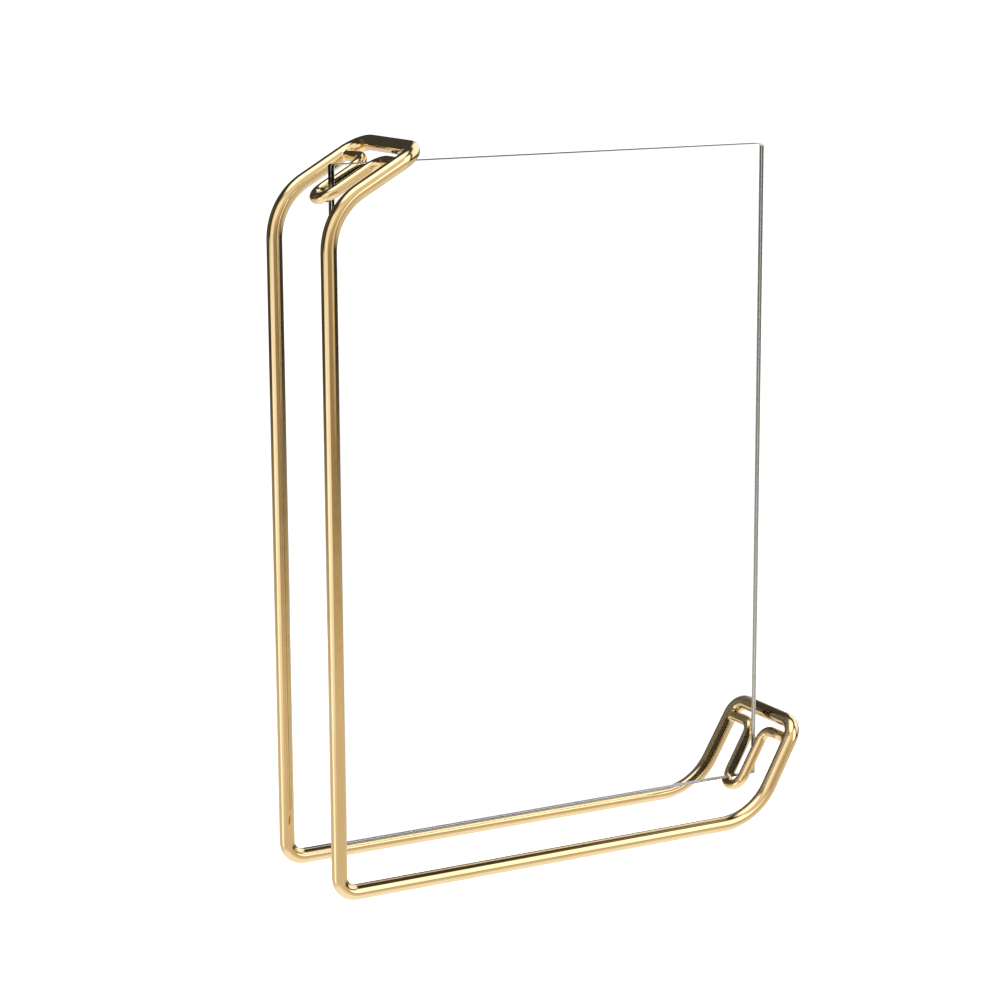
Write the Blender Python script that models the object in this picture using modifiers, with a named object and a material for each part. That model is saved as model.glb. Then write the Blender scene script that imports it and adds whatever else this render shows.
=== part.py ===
"""Photo stand: a bent, brass-plated wire frame that holds two glass panes by two corners.

A long closed hoop of thick wire stands on its two straight rails.  Its left end rises as two
uprights that lean over the panes' top left corner, and its right end turns up round their
bottom right corner.  Inside each of these two sloping ends a tongue of thinner wire is
welded, shaped like a paper clip, and the panes stand in its slot.

Lengths are in millimetres, measured from the hoop's heel: the point where the centrelines
of a rail and an upright meet, midway between front and rear.  X runs along the rails, Y from
front to rear and Z up.  The finished part stands on Z = 0, centred on X = 0 and Y = 0.
"""
import math

import bpy
from mathutils import Quaternion, Vector

MM = 0.001
OBJECT_NAME = "photo_album_stand"

# Panes
PANE_WIDTH = 130.0
PANE_HEIGHT = 180.0
PANE_THICKNESS = 1.7
PANE_GAP = 0.3             # where the print goes
PANE_EDGE_BEVEL = 0.15
PANES_LEFT = 8.7           # the panes' left edge, from the uprights' centreline
PANES_BOTTOM = 7.8         # the panes' bottom edge, above the rails' centreline

# Hoop of thick wire
HOOP_WIRE = 4.1
UPRIGHT_SPACING = 33.2     # front to rear, centre to centre
LOWER_BEND_SPACING = 32.8
LOWER_BAR_SPACING = 31.6
UPPER_BAR_SPACING = 33.8
HEEL_RADIUS = 4.8
UPPER_BEND_HEIGHT = 177.4
UPPER_BEND_RADIUS = 17.2
UPPER_CLIP_LENGTH = 29.3   # from the bend's corner to the crossbar, along the slope
UPPER_BAR_RADIUS = 6.0
LOWER_BEND_REACH = 128.8
LOWER_BEND_RADIUS = 17.8
LOWER_CLIP_LENGTH = 29.05
LOWER_BAR_RADIUS = 5.0
UPPER_CLIP_SLOPE = 29.6    # degrees above level; the two clips face each other squarely
LOWER_CLIP_SLOPE = 90.0 - UPPER_CLIP_SLOPE
WELD_HEIGHT = 30.0         # butt welds in the uprights, and the axis of their spring flex

# Tongues of thin wire
TONGUE_WIRE = 3.0
TONGUE_LEG_OFFSET = 4.1    # leg centreline, from the mid-plane
UPPER_TONGUE_SETBACK = 5.8   # from the hoop's crossbar to the tongue's, centre to centre
UPPER_TONGUE_LENGTH = 18.4
UPPER_TONGUE_RADIUS = 4.2
LOWER_TONGUE_SETBACK = 4.85
LOWER_TONGUE_LENGTH = 18.4
LOWER_TONGUE_RADIUS = 3.4
UPPER_TONGUE_DROP = (HOOP_WIRE - TONGUE_WIRE) / 2   # flush with the underside of the hoop
LOWER_TONGUE_DROP = -0.3   # set a little towards the middle of the panes

JOINT_GAP = 0.3            # between pieces that touch
ARC_STEP = 10.0            # degrees between the points of a bend
SAME_POINT = 0.001

# Number of flats round each wire
HOOP_SIDES = 16
TONGUE_SIDES = 12

BRASS_COLOUR = (0.80, 0.56, 0.27, 1.0)
BRASS_ROUGHNESS = 0.08
GLASS_COLOUR = (0.93, 0.96, 0.95, 1.0)
GLASS_ROUGHNESS = 0.02


def along(start, slope_degrees, distance):
    """The point at a distance from start, up a slope in the X-Z plane."""
    slope = math.radians(slope_degrees)
    return start + distance * Vector((math.cos(slope), 0.0, math.sin(slope)))


HEEL = Vector((0.0, 0.0, 0.0))
WELD = Vector((0.0, 0.0, WELD_HEIGHT))
UPPER_BEND = Vector((0.0, 0.0, UPPER_BEND_HEIGHT))
UPPER_BAR = along(UPPER_BEND, UPPER_CLIP_SLOPE, UPPER_CLIP_LENGTH)
LOWER_BEND = Vector((LOWER_BEND_REACH, 0.0, 0.0))
LOWER_BAR = along(LOWER_BEND, LOWER_CLIP_SLOPE, LOWER_CLIP_LENGTH)


def clear_scene():
    """Remove every object in the scene."""
    for obj in list(bpy.data.objects):
        bpy.data.objects.remove(obj, do_unlink=True)


def front_of(point, spacing):
    return point - Vector((0.0, spacing / 2, 0.0))


def rear_of(point, spacing):
    return point + Vector((0.0, spacing / 2, 0.0))


def bend_points(before, corner, after, radius):
    """Points of the arc that rounds one corner of a path."""
    into = (before - corner).normalized()
    out = (after - corner).normalized()
    opening = into.angle(out)
    reach = radius / math.tan(opening / 2)
    centre = corner + (into + out).normalized() * (radius / math.sin(opening / 2))
    first = corner + into * reach - centre
    last = corner + out * reach - centre
    axis = first.cross(last).normalized()
    turn = math.pi - opening
    steps = max(2, round(math.degrees(turn) / ARC_STEP))
    return [centre + Quaternion(axis, turn * i / steps) @ first for i in range(steps + 1)]


def bent_path(start, corners, end):
    """A wire's centreline: start, then (corner, bend radius) pairs, then end."""
    stops = [start] + [corner for corner, radius in corners] + [end]
    path = [start]
    for index, (corner, radius) in enumerate(corners):
        for point in bend_points(stops[index], corner, stops[index + 2], radius):
            if (point - path[-1]).length > SAME_POINT:
                path.append(point)
    if (end - path[-1]).length > SAME_POINT:
        path.append(end)
    return path


def new_collection(name):
    collection = bpy.data.collections.new(name)
    bpy.context.scene.collection.children.link(collection)
    return collection


def new_empty(name, location, parent, collection):
    empty = bpy.data.objects.new(name, None)
    empty.empty_display_size = 10 * MM
    empty.location = location * MM
    empty.parent = parent
    collection.objects.link(empty)
    return empty


def set_material(obj, colour, roughness, metallic, transmission):
    """Give a piece its own Principled material."""
    material = bpy.data.materials.new(obj.name + "_material")
    material.use_nodes = True
    shader = material.node_tree.nodes["Principled BSDF"]
    shader.inputs["Base Color"].default_value = colour
    shader.inputs["Roughness"].default_value = roughness
    shader.inputs["Metallic"].default_value = metallic
    shader.inputs["Transmission Weight"].default_value = transmission
    obj.data.materials.append(material)


def bent_wire(name, path, origin, diameter, sides, parent, collection):
    """A wire along path, with flats that face straight down under a level run."""
    curve = bpy.data.curves.new(name, "CURVE")
    curve.dimensions = "3D"
    curve.twist_mode = "MINIMUM"
    curve.use_fill_caps = True
    curve.bevel_resolution = (sides - 4) // 2
    half_flat = math.pi / sides
    curve.bevel_depth = diameter / 2 * MM / math.cos(half_flat)
    spline = curve.splines.new("POLY")
    spline.use_smooth = True
    spline.points.add(len(path) - 1)
    for spline_point, point in zip(spline.points, path):
        spline_point.co = (*((point - origin) * MM), 1.0)
        spline_point.tilt = half_flat
    wire = bpy.data.objects.new(name, curve)
    wire.parent = parent
    collection.objects.link(wire)
    set_material(wire, BRASS_COLOUR, BRASS_ROUGHNESS, metallic=1.0, transmission=0.0)
    return wire


def upright_path():
    """From the front weld up, over the upper clip and down to the rear weld."""
    weld = WELD + Vector((0.0, 0.0, JOINT_GAP))
    corners = [
        (front_of(UPPER_BEND, UPRIGHT_SPACING), UPPER_BEND_RADIUS),
        (front_of(UPPER_BAR, UPPER_BAR_SPACING), UPPER_BAR_RADIUS),
        (rear_of(UPPER_BAR, UPPER_BAR_SPACING), UPPER_BAR_RADIUS),
        (rear_of(UPPER_BEND, UPRIGHT_SPACING), UPPER_BEND_RADIUS),
    ]
    return bent_path(front_of(weld, UPRIGHT_SPACING), corners, rear_of(weld, UPRIGHT_SPACING))


def base_path():
    """From the front weld down, along the rails and round the lower clip to the rear weld."""
    corners = [
        (front_of(HEEL, UPRIGHT_SPACING), HEEL_RADIUS),
        (front_of(LOWER_BEND, LOWER_BEND_SPACING), LOWER_BEND_RADIUS),
        (front_of(LOWER_BAR, LOWER_BAR_SPACING), LOWER_BAR_RADIUS),
        (rear_of(LOWER_BAR, LOWER_BAR_SPACING), LOWER_BAR_RADIUS),
        (rear_of(LOWER_BEND, LOWER_BEND_SPACING), LOWER_BEND_RADIUS),
        (rear_of(HEEL, UPRIGHT_SPACING), HEEL_RADIUS),
    ]
    return bent_path(front_of(WELD, UPRIGHT_SPACING), corners, rear_of(WELD, UPRIGHT_SPACING))


def tongue_path(bar, slope, setback, length, radius, clear_width, drop):
    """From one side wire of a clip down to the U-turn and back up to the other side wire."""
    normal = along(Vector((0.0, 0.0, 0.0)), slope + 90.0, 1.0)
    top = along(bar, slope, -setback) - normal * drop
    tip = along(top, slope, -length)
    end_spacing = clear_width - 2 * JOINT_GAP
    leg_spacing = 2 * TONGUE_LEG_OFFSET
    corners = [
        (front_of(top, leg_spacing), radius),
        (front_of(tip, leg_spacing), TONGUE_LEG_OFFSET),
        (rear_of(tip, leg_spacing), TONGUE_LEG_OFFSET),
        (rear_of(top, leg_spacing), radius),
    ]
    return bent_path(front_of(top, end_spacing), corners, rear_of(top, end_spacing))


def clear_width(bend_spacing, bar_spacing, clip_length, bar_radius, setback):
    """Width between a clip's side wires beside a tongue's upper end."""
    distance = setback - TONGUE_WIRE / 2
    spacing = bar_spacing + (bend_spacing - bar_spacing) * distance / clip_length
    into_corner = max(0.0, bar_radius - distance)
    lean = bar_radius - math.sqrt(bar_radius ** 2 - into_corner ** 2)
    return spacing - HOOP_WIRE - 2 * lean


def upper_tongue_path():
    width = clear_width(UPRIGHT_SPACING, UPPER_BAR_SPACING, UPPER_CLIP_LENGTH, UPPER_BAR_RADIUS,
                        UPPER_TONGUE_SETBACK)
    return tongue_path(UPPER_BAR, UPPER_CLIP_SLOPE, UPPER_TONGUE_SETBACK, UPPER_TONGUE_LENGTH,
                       UPPER_TONGUE_RADIUS, width, UPPER_TONGUE_DROP)


def lower_tongue_path():
    width = clear_width(LOWER_BEND_SPACING, LOWER_BAR_SPACING, LOWER_CLIP_LENGTH, LOWER_BAR_RADIUS,
                        LOWER_TONGUE_SETBACK)
    return tongue_path(LOWER_BAR, LOWER_CLIP_SLOPE, LOWER_TONGUE_SETBACK, LOWER_TONGUE_LENGTH,
                       LOWER_TONGUE_RADIUS, width, LOWER_TONGUE_DROP)


def glass_pane(name, side, parent, collection):
    """One pane; side is -1 for the front one and +1 for the rear one."""
    bpy.ops.mesh.primitive_cube_add(size=1.0)
    pane = bpy.context.object
    pane.name = name
    pane.data.name = name
    for vertex in pane.data.vertices:
        vertex.co *= MM
        vertex.co.x *= PANE_WIDTH
        vertex.co.y *= PANE_THICKNESS
        vertex.co.z *= PANE_HEIGHT
    pane.parent = parent
    centre_y = side * (PANE_GAP + PANE_THICKNESS) / 2
    pane.location = Vector((PANES_LEFT + PANE_WIDTH / 2, centre_y, PANES_BOTTOM + PANE_HEIGHT / 2)) * MM
    bevel = pane.modifiers.new("seamed_edges", "BEVEL")
    bevel.width = PANE_EDGE_BEVEL * MM
    bevel.segments = 1
    for other in list(pane.users_collection):
        other.objects.unlink(pane)
    collection.objects.link(pane)
    set_material(pane, GLASS_COLOUR, GLASS_ROUGHNESS, metallic=0.0, transmission=1.0)
    return pane


def build_stand():
    collection = new_collection(OBJECT_NAME)
    middle_x = LOWER_BAR.x / 2    # the hoop reaches equally far past its two ends' centrelines
    heel = new_empty("heel", Vector((-middle_x, 0.0, HOOP_WIRE / 2)), None, collection)
    flex_axis = new_empty("flex_axis", WELD, heel, collection)

    bent_wire("base_hairpin", base_path(), HEEL, HOOP_WIRE, HOOP_SIDES, heel, collection)
    bent_wire("lower_clip_tongue", lower_tongue_path(), HEEL, TONGUE_WIRE, TONGUE_SIDES, heel, collection)
    bent_wire("upright_hairpin", upright_path(), WELD, HOOP_WIRE, HOOP_SIDES, flex_axis, collection)
    bent_wire("upper_clip_tongue", upper_tongue_path(), WELD, TONGUE_WIRE, TONGUE_SIDES, flex_axis,
              collection)
    glass_pane("front_pane", -1, heel, collection)
    glass_pane("rear_pane", 1, heel, collection)


clear_scene()
build_stand()
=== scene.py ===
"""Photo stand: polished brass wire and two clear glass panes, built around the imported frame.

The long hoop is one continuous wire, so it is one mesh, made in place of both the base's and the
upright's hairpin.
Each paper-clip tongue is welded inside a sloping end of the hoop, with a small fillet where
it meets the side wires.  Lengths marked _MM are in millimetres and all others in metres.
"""
import math

import bmesh
import bpy
from mathutils import Matrix, Quaternion, Vector


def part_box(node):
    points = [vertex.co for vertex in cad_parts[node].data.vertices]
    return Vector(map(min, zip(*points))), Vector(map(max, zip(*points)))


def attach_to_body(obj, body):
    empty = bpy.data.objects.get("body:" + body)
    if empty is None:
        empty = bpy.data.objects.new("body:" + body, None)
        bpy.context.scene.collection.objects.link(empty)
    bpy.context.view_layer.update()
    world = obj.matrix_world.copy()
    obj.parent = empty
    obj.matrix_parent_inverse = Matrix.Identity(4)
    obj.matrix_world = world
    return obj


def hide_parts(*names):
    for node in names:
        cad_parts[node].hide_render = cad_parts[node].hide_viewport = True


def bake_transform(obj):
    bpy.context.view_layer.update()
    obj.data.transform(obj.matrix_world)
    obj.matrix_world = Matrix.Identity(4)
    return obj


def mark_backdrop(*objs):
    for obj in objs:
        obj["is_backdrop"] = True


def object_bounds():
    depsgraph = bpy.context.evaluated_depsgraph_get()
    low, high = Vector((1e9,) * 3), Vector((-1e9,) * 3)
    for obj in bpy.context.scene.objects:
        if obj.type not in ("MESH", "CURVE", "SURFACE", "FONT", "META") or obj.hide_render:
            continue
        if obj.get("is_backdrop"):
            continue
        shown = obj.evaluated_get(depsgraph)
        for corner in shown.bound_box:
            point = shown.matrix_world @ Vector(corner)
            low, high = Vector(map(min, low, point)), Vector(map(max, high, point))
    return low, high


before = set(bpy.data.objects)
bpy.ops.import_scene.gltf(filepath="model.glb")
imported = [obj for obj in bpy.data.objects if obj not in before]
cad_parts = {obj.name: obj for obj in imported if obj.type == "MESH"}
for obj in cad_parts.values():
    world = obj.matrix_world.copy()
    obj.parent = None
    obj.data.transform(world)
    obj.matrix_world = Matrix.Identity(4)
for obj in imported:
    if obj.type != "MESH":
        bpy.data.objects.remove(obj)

CAD_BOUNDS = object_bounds()
MM = 0.001

# Hoop of thick wire, with the same sizes as the CAD model
HOOP_RADIUS_MM = 2.05
HEEL_SPACING_MM = 33.2       # front to rear, centre to centre
LOWER_BEND_SPACING_MM = 32.8
LOWER_BAR_SPACING_MM = 31.6
UPPER_BAR_SPACING_MM = 33.8
HEEL_RADIUS_MM = 4.8
UPPER_BEND_HEIGHT_MM = 177.4
UPPER_BEND_RADIUS_MM = 17.2
UPPER_CLIP_LENGTH_MM = 29.3
UPPER_BAR_RADIUS_MM = 6.0
LOWER_BEND_REACH_MM = 128.8
LOWER_BEND_RADIUS_MM = 17.8
LOWER_CLIP_LENGTH_MM = 29.05
LOWER_BAR_RADIUS_MM = 5.0
UPPER_SLOPE = math.radians(29.6)
LOWER_SLOPE = math.radians(90.0 - 29.6)

# Tongues of thin wire
TONGUE_RADIUS_MM = 1.5
TONGUE_LEG_OFFSET_MM = 4.1
TONGUE_LENGTH_MM = 18.4
UPPER_TONGUE_SETBACK_MM = 5.8
UPPER_TONGUE_BEND_MM = 4.2
UPPER_TONGUE_DROP_MM = HOOP_RADIUS_MM - TONGUE_RADIUS_MM
LOWER_TONGUE_SETBACK_MM = 4.85
LOWER_TONGUE_BEND_MM = 3.4
LOWER_TONGUE_DROP_MM = -0.3
WELD_FILLET_MM = 0.55
WELD_START_MM = 0.4          # plain wire left between the fillet and the side wire's side
WELD_ROOM_SHARE = 0.985      # how much of the side wire's radius the fillet may climb
WELD_RINGS = 6
WELD_DEPTH_MM = 0.8          # how far a tongue's end runs on inside the hoop wire

# Fineness of the wires
HOOP_SIDES = 36
TONGUE_SIDES = 32
ARC_STEP = math.radians(3.0)
STRAIGHT_STEP_MM = 4.0
SAME_POINT_MM = 0.001

# Panes
GLASS_SURFACES = 4           # a ray ends after two panes' faces, which darkens brass behind them
PANE_CORNER_MM = 0.7         # radius of each of the four corners
PANE_ARRIS_MM = 0.12         # radius along the edges of the faces
PANE_FILM_MM = 0.04          # left between the two panes where they lie together
ARRIS_STEPS = 3
CORNER_STEPS = 6

# Camera
CAMERA_AIM = Vector((-0.0147, 0.0, 0.0981))
CAMERA_AZIMUTH = -28.35      # degrees, as the elevation and the roll
CAMERA_ELEVATION = 11.74
CAMERA_ROLL = -0.29
CAMERA_DISTANCE = 0.744
CAMERA_LENS = 100.02


# ---------------------------------------------------------------- wire paths

def on_slope(start, slope, distance):
    """The point at a distance from start, up a slope in the X-Z plane."""
    return start + distance * Vector((math.cos(slope), 0.0, math.sin(slope)))


HEEL = Vector((0.0, 0.0, 0.0))
UPPER_BEND = Vector((0.0, 0.0, UPPER_BEND_HEIGHT_MM))
UPPER_BAR = on_slope(UPPER_BEND, UPPER_SLOPE, UPPER_CLIP_LENGTH_MM)
LOWER_BEND = Vector((LOWER_BEND_REACH_MM, 0.0, 0.0))
LOWER_BAR = on_slope(LOWER_BEND, LOWER_SLOPE, LOWER_CLIP_LENGTH_MM)


def across(point, distance):
    """point moved along Y."""
    return point + Vector((0.0, distance, 0.0))


def arc(before, corner, after, radius):
    """Points of the arc that rounds one corner of a path."""
    into = (before - corner).normalized()
    out = (after - corner).normalized()
    opening = into.angle(out)
    reach = radius / math.tan(opening / 2)
    centre = corner + (into + out).normalized() * (radius / math.sin(opening / 2))
    first = corner + into * reach - centre
    last = corner + out * reach - centre
    axis = first.cross(last).normalized()
    turn = math.pi - opening
    steps = max(4, math.ceil(turn / ARC_STEP))
    return [centre + Quaternion(axis, turn * i / steps) @ first for i in range(steps + 1)]


def add_straight(path, end):
    """Carry path on to end in short, equal steps."""
    start = path[-1]
    run = (end - start).length
    if run < SAME_POINT_MM:
        return
    steps = max(1, math.ceil(run / STRAIGHT_STEP_MM))
    path.extend(start.lerp(end, i / steps) for i in range(1, steps + 1))


def closed_path(corners):
    """A loop's centreline through rounded corners, given as (point, radius) pairs."""
    count = len(corners)
    path = []
    for i, (corner, radius) in enumerate(corners):
        before = corners[i - 1][0]
        after = corners[(i + 1) % count][0]
        points = arc(before, corner, after, radius)
        if path:
            add_straight(path, points[0])
            points = points[1:]
        path.extend(points)
    add_straight(path, path[0])
    return path[:-1]


def open_path(start, corners, end):
    """A centreline from start to end through rounded corners."""
    stops = [start] + [corner for corner, radius in corners] + [end]
    path = [start]
    for i, (corner, radius) in enumerate(corners):
        points = arc(stops[i], corner, stops[i + 2], radius)
        add_straight(path, points[0])
        path.extend(points[1:])
    add_straight(path, end)
    return path


# ---------------------------------------------------------------- wire meshes

def directions(path, closed):
    """Unit vectors along the path at each of its points."""
    count = len(path)
    found = []
    for i in range(count):
        before = path[i - 1] if closed or i > 0 else path[0]
        after = path[(i + 1) % count] if closed or i < count - 1 else path[-1]
        found.append((after - before).normalized())
    return found


def frames_along(path, closed):
    """A (side, up) pair at each point, carried along the path without twist."""
    along = directions(path, closed)
    side = along[0].orthogonal().normalized()
    frames = []
    for i, direction in enumerate(along):
        if i > 0:
            side = along[i - 1].rotation_difference(direction) @ side
        side = (side - direction * side.dot(direction)).normalized()
        frames.append((side, direction.cross(side)))
    if closed:
        last = along[-1].rotation_difference(along[0]) @ frames[-1][0]
        first_side, first_up = frames[0]
        spare = math.atan2(last.dot(first_up), last.dot(first_side))
        for i, direction in enumerate(along):
            turn = Quaternion(direction, -spare * i / len(along))
            frames[i] = (turn @ frames[i][0], turn @ frames[i][1])
    return frames


def ring_of(centre, side, up, radius, sides):
    """Points of a circle around the wire's centreline."""
    angles = [2 * math.pi * k / sides for k in range(sides)]
    return [centre + radius * (math.cos(a) * side + math.sin(a) * up) for a in angles]


def skin_rings(name, rings, distances, girth, closed):
    """A mesh through rings of points, with UVs in millimetres around and along the wire."""
    mesh = bpy.data.meshes.new(name)
    bm = bmesh.new()
    uv_layer = bm.loops.layers.uv.new("wire")
    rows = [[bm.verts.new(point) for point in ring] for ring in rings]
    sides = len(rings[0])
    spans = len(rows) if closed else len(rows) - 1
    for i in range(spans):
        lower = rows[i]
        upper = rows[(i + 1) % len(rows)]
        v_low = distances[i]
        v_high = distances[i + 1]
        for k in range(sides):
            after = (k + 1) % sides
            face = bm.faces.new((lower[k], lower[after], upper[after], upper[k]))
            u_low = girth * k / sides
            u_high = girth * (k + 1) / sides
            corners = ((u_low, v_low), (u_high, v_low), (u_high, v_high), (u_low, v_high))
            for loop, uv in zip(face.loops, corners):
                loop[uv_layer].uv = uv
    if not closed:
        bm.faces.new(list(reversed(rows[0])))
        bm.faces.new(rows[-1])
    for face in bm.faces:
        face.smooth = True
    bmesh.ops.recalc_face_normals(bm, faces=bm.faces)
    bm.to_mesh(mesh)
    bm.free()
    return mesh


def place(name, mesh, origin):
    """An object whose mesh, made in millimetres from origin, is in the frame's metres."""
    mesh.transform(Matrix.Translation(origin) @ Matrix.Scale(MM, 4))
    obj = bpy.data.objects.new(name, mesh)
    bpy.context.scene.collection.objects.link(obj)
    return obj


def path_distances(path, closed):
    """How far along the path each point lies, with the full length last on a loop."""
    stops = path + [path[0]] if closed else path
    distances = [0.0]
    for before, after in zip(stops, stops[1:]):
        distances.append(distances[-1] + (after - before).length)
    return distances


# ---------------------------------------------------------------- hoop

def hoop_corners():
    """The loop's corners as (point, radius): down the front side and back up the rear."""
    heel = (HEEL, HEEL_SPACING_MM, HEEL_RADIUS_MM)
    lower_bend = (LOWER_BEND, LOWER_BEND_SPACING_MM, LOWER_BEND_RADIUS_MM)
    lower_bar = (LOWER_BAR, LOWER_BAR_SPACING_MM, LOWER_BAR_RADIUS_MM)
    upper_bend = (UPPER_BEND, HEEL_SPACING_MM, UPPER_BEND_RADIUS_MM)
    upper_bar = (UPPER_BAR, UPPER_BAR_SPACING_MM, UPPER_BAR_RADIUS_MM)
    side = [upper_bar, upper_bend, heel, lower_bend, lower_bar]
    front_corners = [(across(point, -spacing / 2), radius) for point, spacing, radius in side]
    rear_corners = [(across(point, spacing / 2), radius) for point, spacing, radius in side]
    return front_corners + rear_corners[::-1]


def build_hoop(origin):
    path = closed_path(hoop_corners())
    frames = frames_along(path, closed=True)
    rings = [ring_of(point, side, up, HOOP_RADIUS_MM, HOOP_SIDES)
             for point, (side, up) in zip(path, frames)]
    girth = 2 * math.pi * HOOP_RADIUS_MM
    mesh = skin_rings("hoop_wire", rings, path_distances(path, closed=True), girth, closed=True)
    return place("hoop_wire", mesh, origin)


# ---------------------------------------------------------------- tongues

def side_wire_offset(distance, bar_spacing, bend_spacing, clip_length, bar_radius):
    """Y of a clip's side wire at a distance from the crossbar's centreline."""
    spacing = bar_spacing + (bend_spacing - bar_spacing) * distance / clip_length
    into_corner = min(bar_radius, max(0.0, bar_radius - distance))
    lean = bar_radius - math.sqrt(bar_radius ** 2 - into_corner ** 2)
    return spacing / 2 - lean


def weld_ring(clip, share, depth, end):
    """One ring of a tongue's end, where it meets the side wire at Y side end (-1 or 1).

    share runs from 0, where the fillet starts on the tongue, to 1, where it lies on the side
    wire.  depth carries a last ring on inside the side wire.
    """
    ring = []
    for k in range(TONGUE_SIDES):
        angle = 2 * math.pi * k / TONGUE_SIDES
        height = TONGUE_RADIUS_MM * math.sin(angle) - clip["drop"]
        room = HOOP_RADIUS_MM * WELD_ROOM_SHARE - abs(height)
        fillet = max(0.0, min(WELD_FILLET_MM, room))
        grown = TONGUE_RADIUS_MM + fillet * (1 - math.cos(share * math.pi / 2))
        height = grown * math.sin(angle) - clip["drop"]
        distance = clip["setback"] - grown * math.cos(angle)
        wire = side_wire_offset(distance, clip["bar_spacing"], clip["bend_spacing"],
                                clip["clip_length"], clip["bar_radius"])
        inside = math.sqrt(max(0.0, HOOP_RADIUS_MM ** 2 - height ** 2))
        stand_off = inside + fillet * (1 - math.sin(share * math.pi / 2)) - depth
        offset = wire - stand_off
        point = clip["bar"] - clip["up_slope"] * distance + clip["normal"] * height
        ring.append(across(point, end * offset))
    return ring


def build_tongue(name, clip, bend_radius, origin):
    top = clip["bar"] - clip["up_slope"] * clip["setback"] - clip["normal"] * clip["drop"]
    tip = top - clip["up_slope"] * TONGUE_LENGTH_MM
    leg = TONGUE_LEG_OFFSET_MM
    reach = clip["bar_spacing"] / 2 - HOOP_RADIUS_MM - WELD_FILLET_MM - WELD_START_MM
    corners = [(across(top, -leg), bend_radius), (across(tip, -leg), leg),
               (across(tip, leg), leg), (across(top, leg), bend_radius)]
    path = open_path(across(top, -reach), corners, across(top, reach))
    rings = []
    for point, direction in zip(path, directions(path, closed=False)):
        # the wire lies in the clip's plane; at the front end "side" points up the slope
        side = clip["normal"].cross(direction).normalized()
        rings.append(ring_of(point, side, clip["normal"], TONGUE_RADIUS_MM, TONGUE_SIDES))
    front = [weld_ring(clip, i / WELD_RINGS, 0.0, -1) for i in range(WELD_RINGS + 1)]
    front.append(weld_ring(clip, 1.0, WELD_DEPTH_MM, -1))
    rear = [mirrored_ring(ring) for ring in front]
    rings = front[::-1] + rings + rear
    centres = [sum(ring, Vector()) / len(ring) for ring in rings]
    girth = 2 * math.pi * TONGUE_RADIUS_MM
    mesh = skin_rings(name, rings, path_distances(centres, closed=False), girth, closed=False)
    return place(name, mesh, origin)


def mirrored_ring(ring):
    """A front end's ring at the rear end, where the wire runs the other way up the slope."""
    flipped = [Vector((point.x, -point.y, point.z)) for point in ring]
    half = TONGUE_SIDES // 2
    return [flipped[(half - k) % TONGUE_SIDES] for k in range(TONGUE_SIDES)]


def clip_frame(bar, slope, setback, drop, bar_spacing, bend_spacing, clip_length, bar_radius):
    """What a tongue needs to know of the clip that it is welded into."""
    up_slope = Vector((math.cos(slope), 0.0, math.sin(slope)))
    return {
        "bar": bar,
        "up_slope": up_slope,
        "normal": Vector((-math.sin(slope), 0.0, math.cos(slope))),
        "setback": setback,
        "drop": drop,
        "bar_spacing": bar_spacing,
        "bend_spacing": bend_spacing,
        "clip_length": clip_length,
        "bar_radius": bar_radius,
    }


def build_tongues(origin):
    upper = clip_frame(UPPER_BAR, UPPER_SLOPE, UPPER_TONGUE_SETBACK_MM, UPPER_TONGUE_DROP_MM,
                       UPPER_BAR_SPACING_MM, HEEL_SPACING_MM, UPPER_CLIP_LENGTH_MM,
                       UPPER_BAR_RADIUS_MM)
    lower = clip_frame(LOWER_BAR, LOWER_SLOPE, LOWER_TONGUE_SETBACK_MM, LOWER_TONGUE_DROP_MM,
                       LOWER_BAR_SPACING_MM, LOWER_BEND_SPACING_MM, LOWER_CLIP_LENGTH_MM,
                       LOWER_BAR_RADIUS_MM)
    return (build_tongue("upper_tongue_wire", upper, UPPER_TONGUE_BEND_MM, origin),
            build_tongue("lower_tongue_wire", lower, LOWER_TONGUE_BEND_MM, origin))


# ---------------------------------------------------------------- panes

def pane_outline(half_width, half_height, inset):
    """A rectangle with rounded corners in X and Z, moved in from the full size by inset."""
    radius = PANE_CORNER_MM - inset
    points = []
    for quarter, (sign_x, sign_z) in enumerate(((1, 1), (-1, 1), (-1, -1), (1, -1))):
        centre_x = sign_x * (half_width - PANE_CORNER_MM)
        centre_z = sign_z * (half_height - PANE_CORNER_MM)
        for step in range(CORNER_STEPS + 1):
            angle = math.pi / 2 * (quarter + step / CORNER_STEPS)
            points.append((centre_x + radius * math.cos(angle),
                           centre_z + radius * math.sin(angle)))
    return points


def pane_box(node, other):
    """The node's box, carried on to the pane it lies against, which the CAD solid stops short of."""
    low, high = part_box(node)
    other_low, other_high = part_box(other)
    shut = PANE_FILM_MM * MM / 2
    if high.y < other_low.y:
        high.y = (high.y + other_low.y) / 2 - shut
    else:
        low.y = (low.y + other_high.y) / 2 + shut
    return low, high


def arris_levels(half_thick):
    """(y, inset) of each outline through a pane's thickness, from its front face to its rear."""
    profile = []
    for step in range(ARRIS_STEPS + 1):
        angle = math.pi / 2 * step / ARRIS_STEPS
        inset = PANE_ARRIS_MM * (1 - math.sin(angle))
        depth = PANE_ARRIS_MM * (1 - math.cos(angle))
        profile.append((inset, depth))
    front = [(-half_thick + depth, inset) for inset, depth in profile]
    rear = [(half_thick - depth, inset) for inset, depth in reversed(profile)]
    return front + rear


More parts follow.
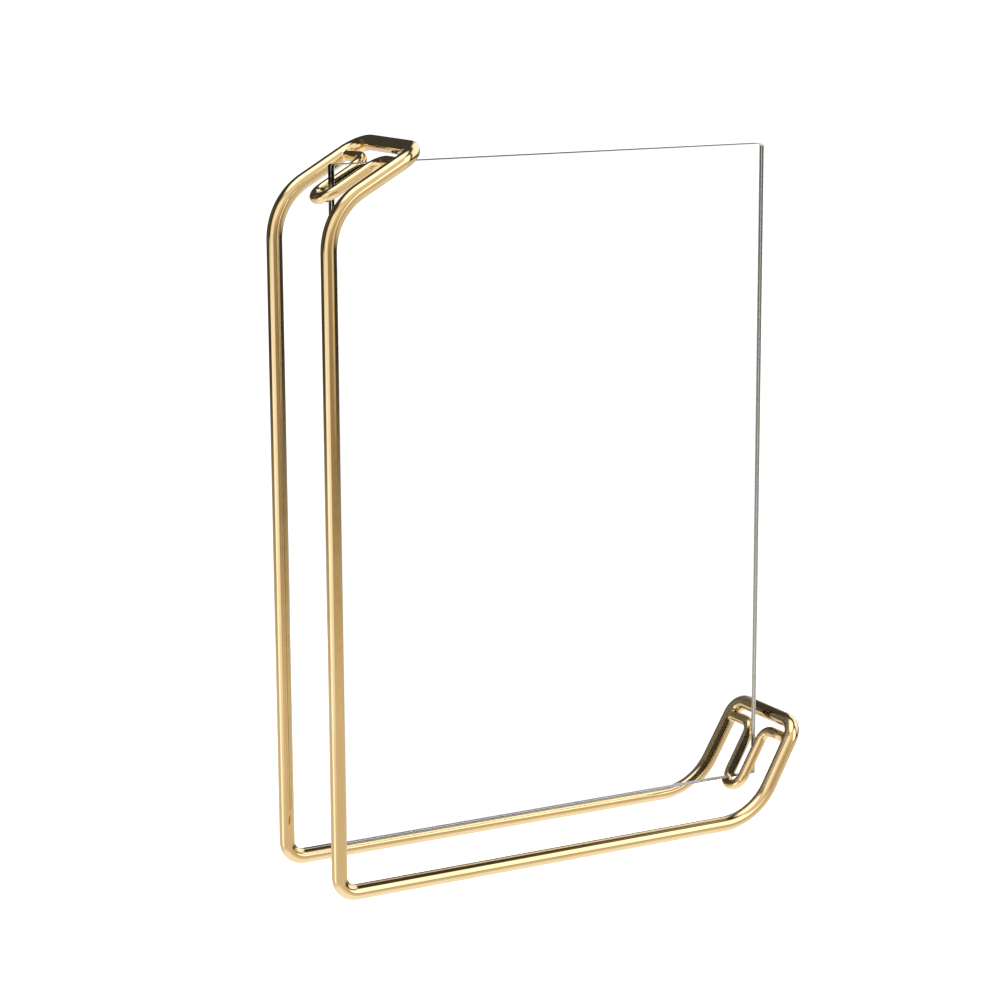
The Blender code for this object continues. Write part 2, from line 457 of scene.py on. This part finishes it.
def build_pane(name, node, other, materials):
    """A pane in its CAD solid's place, with rounded arrises and polished edges."""
    low, high = pane_box(node, other)
    centre = (low + high) / 2
    size = (high - low) / MM
    bm = bmesh.new()
    rows = []
    for y, inset in arris_levels(size.y / 2):
        outline = pane_outline(size.x / 2, size.z / 2, inset)
        rows.append([bm.verts.new((x, y, z)) for x, z in outline])
    count = len(rows[0])
    for lower, upper in zip(rows, rows[1:]):
        for k in range(count):
            after = (k + 1) % count
            edge_face = bm.faces.new((lower[k], lower[after], upper[after], upper[k]))
            edge_face.material_index = 1
            edge_face.smooth = True
    bm.faces.new(rows[0])
    bm.faces.new(list(reversed(rows[-1])))
    bmesh.ops.recalc_face_normals(bm, faces=bm.faces)
    mesh = bpy.data.meshes.new(name)
    bm.to_mesh(mesh)
    bm.free()
    for material in materials:
        mesh.materials.append(material)
    pane = place(name, mesh, centre)
    pane.visible_shadow = False
    return pane


# ---------------------------------------------------------------- materials

# A noise is (scale, detail), a bump is (distance in metres, strength), and a pair of tones
# or of roughnesses is what a noise varies between
NOISE_SPAN = (0.3, 0.7)      # what a noise mostly keeps to
BRASS_TONES = ((0.900, 0.690, 0.385, 1.0), (0.940, 0.740, 0.440, 1.0))
BRASS_TONE_NOISE = (70.0, 2.0)
BRASS_ROUGHNESS = (0.045, 0.085)
BRASS_HAZE_NOISE = (900.0, 4.0)
BRASS_WAVE_NOISE = (160.0, 1.0)
BRASS_WAVE_BUMP = (0.00035, 0.07)
DRAWING_LINE_SCALE = (9.0, 0.12, 1.0)        # around the wire, and along it
DRAWING_LINE_NOISE = (1.0, 3.0)
DRAWING_LINE_BUMP = (0.00002, 0.08)
GLASS_IOR = 1.5
GLASS_FACE_TINT = (0.992, 0.998, 0.995, 1.0)
GLASS_RIPPLE_NOISE = (18.0, 1.0)
GLASS_RIPPLE_BUMP = (0.0005, 0.02)
GLASS_EDGE_TINT = (0.93, 0.95, 0.94, 1.0)
GLASS_EDGE_ROUGHNESS = (0.02, 0.06)
GLASS_EDGE_NOISE = (1400.0, 3.0)


def new_material(name):
    material = bpy.data.materials.new(name)
    material.use_nodes = True
    tree = material.node_tree
    return material, tree, tree.nodes["Principled BSDF"]


def add_noise(tree, vector, scale, detail):
    noise = tree.nodes.new("ShaderNodeTexNoise")
    noise.inputs["Scale"].default_value = scale
    noise.inputs["Detail"].default_value = detail
    tree.links.new(vector, noise.inputs["Vector"])
    return noise.outputs["Fac"]


def add_range(tree, value, low, high):
    """A noise's value, spread over low to high."""
    spread = tree.nodes.new("ShaderNodeMapRange")
    spread.inputs["From Min"].default_value = NOISE_SPAN[0]
    spread.inputs["From Max"].default_value = NOISE_SPAN[1]
    spread.inputs["To Min"].default_value = low
    spread.inputs["To Max"].default_value = high
    tree.links.new(value, spread.inputs["Value"])
    return spread.outputs["Result"]


def add_bump(tree, height, distance, strength, below=None):
    bump = tree.nodes.new("ShaderNodeBump")
    bump.inputs["Distance"].default_value = distance
    bump.inputs["Strength"].default_value = strength
    tree.links.new(height, bump.inputs["Height"])
    if below is not None:
        tree.links.new(below, bump.inputs["Normal"])
    return bump.outputs["Normal"]


def brass_material():
    """Polished brass plate: slow waviness, fine drawing lines and a slight change of tone."""
    material, tree, shader = new_material("polished_brass")
    coordinates = tree.nodes.new("ShaderNodeTexCoord")
    place_in_space = coordinates.outputs["Object"]

    tone = tree.nodes.new("ShaderNodeMix")
    tone.data_type = "RGBA"
    tone.inputs["A"].default_value = BRASS_TONES[0]
    tone.inputs["B"].default_value = BRASS_TONES[1]
    clouds = add_noise(tree, place_in_space, *BRASS_TONE_NOISE)
    tree.links.new(add_range(tree, clouds, 0.0, 1.0), tone.inputs["Factor"])
    tree.links.new(tone.outputs["Result"], shader.inputs["Base Color"])

    wire_uv = tree.nodes.new("ShaderNodeUVMap")
    wire_uv.uv_map = "wire"
    stretch = tree.nodes.new("ShaderNodeMapping")
    stretch.inputs["Scale"].default_value = DRAWING_LINE_SCALE
    tree.links.new(wire_uv.outputs["UV"], stretch.inputs["Vector"])
    drawing_lines = add_noise(tree, stretch.outputs["Vector"], *DRAWING_LINE_NOISE)

    haze = add_noise(tree, place_in_space, *BRASS_HAZE_NOISE)
    tree.links.new(add_range(tree, haze, *BRASS_ROUGHNESS), shader.inputs["Roughness"])
    waves = add_noise(tree, place_in_space, *BRASS_WAVE_NOISE)
    normal = add_bump(tree, waves, *BRASS_WAVE_BUMP)
    normal = add_bump(tree, drawing_lines, *DRAWING_LINE_BUMP, below=normal)
    tree.links.new(normal, shader.inputs["Normal"])

    shader.inputs["Metallic"].default_value = 1.0
    return material


def glass_face_material():
    """Clear float glass, very slightly wavy."""
    material, tree, shader = new_material("clear_glass_face")
    coordinates = tree.nodes.new("ShaderNodeTexCoord")
    ripple = add_noise(tree, coordinates.outputs["Object"], *GLASS_RIPPLE_NOISE)
    tree.links.new(add_bump(tree, ripple, *GLASS_RIPPLE_BUMP), shader.inputs["Normal"])
    shader.inputs["Base Color"].default_value = GLASS_FACE_TINT
    shader.inputs["Roughness"].default_value = 0.0
    shader.inputs["IOR"].default_value = GLASS_IOR
    shader.inputs["Transmission Weight"].default_value = 1.0
    return material


def glass_edge_material():
    """The ground and polished edge of the same glass, not quite as smooth as its faces."""
    material, tree, shader = new_material("polished_glass_edge")
    coordinates = tree.nodes.new("ShaderNodeTexCoord")
    grain = add_noise(tree, coordinates.outputs["Object"], *GLASS_EDGE_NOISE)
    tree.links.new(add_range(tree, grain, *GLASS_EDGE_ROUGHNESS), shader.inputs["Roughness"])
    shader.inputs["Base Color"].default_value = GLASS_EDGE_TINT
    shader.inputs["IOR"].default_value = GLASS_IOR
    shader.inputs["Transmission Weight"].default_value = 1.0
    return material


# ---------------------------------------------------------------- floor, light and camera

WHITE = (1.0, 1.0, 1.0, 1.0)
FLOOR_RADIUS = 0.26
FLOOR_SEGMENTS = 96
FLOOR_DROP = 0.0001          # gap under the rails, so that no two surfaces lie in one plane
FLOOR_COLOUR = (0.93, 0.93, 0.92, 1.0)
FLOOR_SPECULAR = 0.1
FLOOR_NOISE = (300.0, 2.0)
FLOOR_ROUGHNESS = (0.75, 0.85)
FLOOR_GLOW = 0.90            # the floor is a lit table, so that shadows on it stay faint

# Soft light panels in the studio around the object, as (azimuth, half width, elevation,
# half height, softness of the rim, brightness), in degrees.  Azimuth 0 is in front of the
# object and 90 to its right.
PANELS = (
    (-88.0, 10.0, -20.0, 8.0, 14.0, 1.30),
    (-62.0, 14.0, 10.0, 22.0, 20.0, 1.00),
    (-50.0, 14.0, 27.0, 8.0, 18.0, 1.05),
    (29.0, 12.0, 22.0, 20.0, 12.0, 1.55),
    (31.0, 12.0, -2.0, 3.0, 10.0, 0.85),
    (102.0, 34.0, 29.0, 18.0, 16.0, 1.20),
    (-132.0, 8.0, 12.0, 14.0, 14.0, 0.12),
)
OVERHEAD = (-60.0, 76.0, 15.0, 34.0, 1.70)   # azimuth, elevation, inner and outer angle, brightness
ROOM_FRONT = (-28.0, 30.0, 75.0)             # azimuth, inner and outer angle
ROOM_RAMP = (-12.0, 26.0, 0.32, 0.78)        # brightness of the room's front at two elevations
ROOM_BACK = 0.05
GROUND_STEPS = ((-7.0, -17.0, 0.68), (-27.0, -53.0, 0.32))   # elevation range, added brightness
ROOM_TINT = (1.0, 0.82, 0.55, 1.0)           # colour of the dim parts; the bright panels are white
TINT_REACH = (105.0, 18.0)                   # half width of the tinted side and its soft rim
TINT_ENDS = (0.50, 1.00)                     # brightness over which the tint gives way to white
BACKDROP = 1.20


def floor_material():
    material, tree, shader = new_material("pale_floor")
    coordinates = tree.nodes.new("ShaderNodeTexCoord")
    mottle = add_noise(tree, coordinates.outputs["Object"], *FLOOR_NOISE)
    tree.links.new(add_range(tree, mottle, *FLOOR_ROUGHNESS), shader.inputs["Roughness"])
    shader.inputs["Base Color"].default_value = FLOOR_COLOUR
    shader.inputs["Specular IOR Level"].default_value = FLOOR_SPECULAR
    shader.inputs["Emission Color"].default_value = WHITE
    shader.inputs["Emission Strength"].default_value = FLOOR_GLOW
    return material


def build_floor():
    bm = bmesh.new()
    bmesh.ops.create_circle(bm, cap_ends=True, radius=FLOOR_RADIUS, segments=FLOOR_SEGMENTS)
    mesh = bpy.data.meshes.new("floor")
    bm.to_mesh(mesh)
    bm.free()
    mesh.materials.append(floor_material())
    floor = bpy.data.objects.new("floor", mesh)
    floor.location.z = CAD_BOUNDS[0][2] - FLOOR_DROP
    floor.visible_glossy = False
    floor.visible_transmission = False
    bpy.context.scene.collection.objects.link(floor)
    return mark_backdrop(floor)


def toward(azimuth, elevation):
    """Unit vector at an azimuth and elevation in degrees, seen from the object."""
    a = math.radians(azimuth)
    e = math.radians(elevation)
    return Vector((math.sin(a) * math.cos(e), -math.cos(a) * math.cos(e), math.sin(e)))


def add_math(tree, operation, first, second):
    node = tree.nodes.new("ShaderNodeMath")
    node.operation = operation
    for socket, value in zip(node.inputs, (first, second)):
        if isinstance(value, (int, float)):
            socket.default_value = value
        else:
            tree.links.new(value, socket)
    return node.outputs["Value"]


def smooth_step(tree, value, low, high, to_low, to_high):
    """to_low below low, to_high above high, and a smooth change between."""
    node = tree.nodes.new("ShaderNodeMapRange")
    node.interpolation_type = "SMOOTHSTEP"
    tree.links.new(value, node.inputs["Value"])
    for name, number in (("From Min", low), ("From Max", high), ("To Min", to_low), ("To Max", to_high)):
        node.inputs[name].default_value = number
    return node.outputs["Result"]


def soft_span(tree, value, centre, half, softness):
    """1 where value lies within half of centre, fading to 0 over softness, in radians."""
    away = add_math(tree, "ABSOLUTE", add_math(tree, "SUBTRACT", value, math.radians(centre)), 0.0)
    return smooth_step(tree, away, math.radians(half), math.radians(half + softness), 1.0, 0.0)


def room_brightness(tree, sky, azimuth, elevation):
    """The studio that the brass reflects: a dim room, soft panels, a light overhead, a floor."""
    centre, inner, outer = ROOM_FRONT
    low, high, dim, bright = ROOM_RAMP
    room = soft_span(tree, azimuth, centre, inner, outer - inner)
    ramp = smooth_step(tree, elevation, math.radians(low), math.radians(high), dim, bright)
    total = add_math(tree, "MAXIMUM", add_math(tree, "MULTIPLY", room, ramp), ROOM_BACK)
    for across_at, half_width, up_at, half_height, softness, brightness in PANELS:
        wide = soft_span(tree, azimuth, across_at, half_width, softness)
        tall = soft_span(tree, elevation, up_at, half_height, softness)
        glow = add_math(tree, "MULTIPLY", add_math(tree, "MULTIPLY", wide, tall), brightness)
        total = add_math(tree, "MAXIMUM", total, glow)

    across_at, up_at, inner, outer, brightness = OVERHEAD
    facing = tree.nodes.new("ShaderNodeVectorMath")
    facing.operation = "DOT_PRODUCT"
    facing.inputs[1].default_value = toward(across_at, up_at)
    tree.links.new(sky, facing.inputs[0])
    overhead = smooth_step(tree, facing.outputs["Value"], math.cos(math.radians(outer)),
                           math.cos(math.radians(inner)), 0.0, brightness)
    total = add_math(tree, "MAXIMUM", total, overhead)

    ground = 0.0
    for start, end, brightness in GROUND_STEPS:
        step = smooth_step(tree, elevation, math.radians(end), math.radians(start), brightness, 0.0)
        ground = add_math(tree, "ADD", ground, step)
    return add_math(tree, "MAXIMUM", total, ground)


def seen_directly(tree):
    """1 for what the camera sees, also through glass, and 0 for what is seen in a reflection."""
    path = tree.nodes.new("ShaderNodeLightPath")
    unreflected = add_math(tree, "LESS_THAN", path.outputs["Glossy Depth"], 0.5)
    through_glass = add_math(tree, "MULTIPLY", path.outputs["Is Transmission Ray"], unreflected)
    return add_math(tree, "MAXIMUM", path.outputs["Is Camera Ray"], through_glass)


def build_studio():
    """A dim room with soft light panels, and a plain pale backdrop where it is seen directly."""
    world = bpy.data.worlds.new("studio")
    bpy.context.scene.world = world
    world.use_nodes = True
    tree = world.node_tree
    background = tree.nodes["Background"]
    sky = tree.nodes.new("ShaderNodeTexCoord").outputs["Generated"]
    parts = tree.nodes.new("ShaderNodeSeparateXYZ")
    tree.links.new(sky, parts.inputs["Vector"])
    toward_front = add_math(tree, "MULTIPLY", parts.outputs["Y"], -1.0)
    azimuth = add_math(tree, "ARCTAN2", parts.outputs["X"], toward_front)
    elevation = add_math(tree, "ARCSINE", parts.outputs["Z"], 0.0)

    strength = tree.nodes.new("ShaderNodeMix")
    tree.links.new(seen_directly(tree), strength.inputs["Factor"])
    tree.links.new(room_brightness(tree, sky, azimuth, elevation), strength.inputs["A"])
    strength.inputs["B"].default_value = BACKDROP
    tree.links.new(strength.outputs["Result"], background.inputs["Strength"])

    dimness = smooth_step(tree, strength.outputs["Result"], *TINT_ENDS, 1.0, 0.0)
    warm_side = soft_span(tree, azimuth, ROOM_FRONT[0], *TINT_REACH)
    colour = tree.nodes.new("ShaderNodeMix")
    colour.data_type = "RGBA"
    tree.links.new(add_math(tree, "MULTIPLY", dimness, warm_side), colour.inputs["Factor"])
    colour.inputs["A"].default_value = WHITE
    colour.inputs["B"].default_value = ROOM_TINT
    tree.links.new(colour.outputs["Result"], background.inputs["Color"])


def build_camera():
    back = toward(CAMERA_AZIMUTH, CAMERA_ELEVATION)
    right = Vector((0.0, 0.0, 1.0)).cross(back).normalized()
    up = back.cross(right)
    turn = Quaternion(back, math.radians(CAMERA_ROLL))
    axes = Matrix((turn @ right, turn @ up, back)).transposed().to_4x4()
    camera = bpy.data.objects.new("camera", bpy.data.cameras.new("camera"))
    camera.data.lens = CAMERA_LENS
    camera.matrix_world = Matrix.Translation(CAMERA_AIM + back * CAMERA_DISTANCE) @ axes
    bpy.context.scene.collection.objects.link(camera)
    bpy.context.scene.camera = camera


# ---------------------------------------------------------------- assembly

def attach(piece, material, nodes):
    if material is not None:
        piece.data.materials.append(material)
    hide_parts(*nodes)


base_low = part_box("base_hairpin")[0]
heel_centre = Vector((base_low.x + HOOP_RADIUS_MM * MM, 0.0, base_low.z + HOOP_RADIUS_MM * MM))
brass = brass_material()

hoop = build_hoop(heel_centre)
attach(hoop, brass, ["base_hairpin", "upright_hairpin"])
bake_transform(hoop)

upper_tongue, lower_tongue = build_tongues(heel_centre)
attach(upper_tongue, brass, ["upper_clip_tongue"])
attach(lower_tongue, brass, ["lower_clip_tongue"])
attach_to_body(upper_tongue, "upright")
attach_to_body(lower_tongue, "base")

glass = [glass_face_material(), glass_edge_material()]
for side, other in (("front", "rear"), ("rear", "front")):
    pane = build_pane(side + "_glass_pane", side + "_pane", other + "_pane", glass)
    attach(pane, None, [side + "_pane"])
    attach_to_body(pane, side + "_glass")

build_floor()
build_studio()
build_camera()
bpy.context.scene.view_settings.view_transform = "Standard"
bpy.context.scene.cycles.transmission_bounces = GLASS_SURFACES
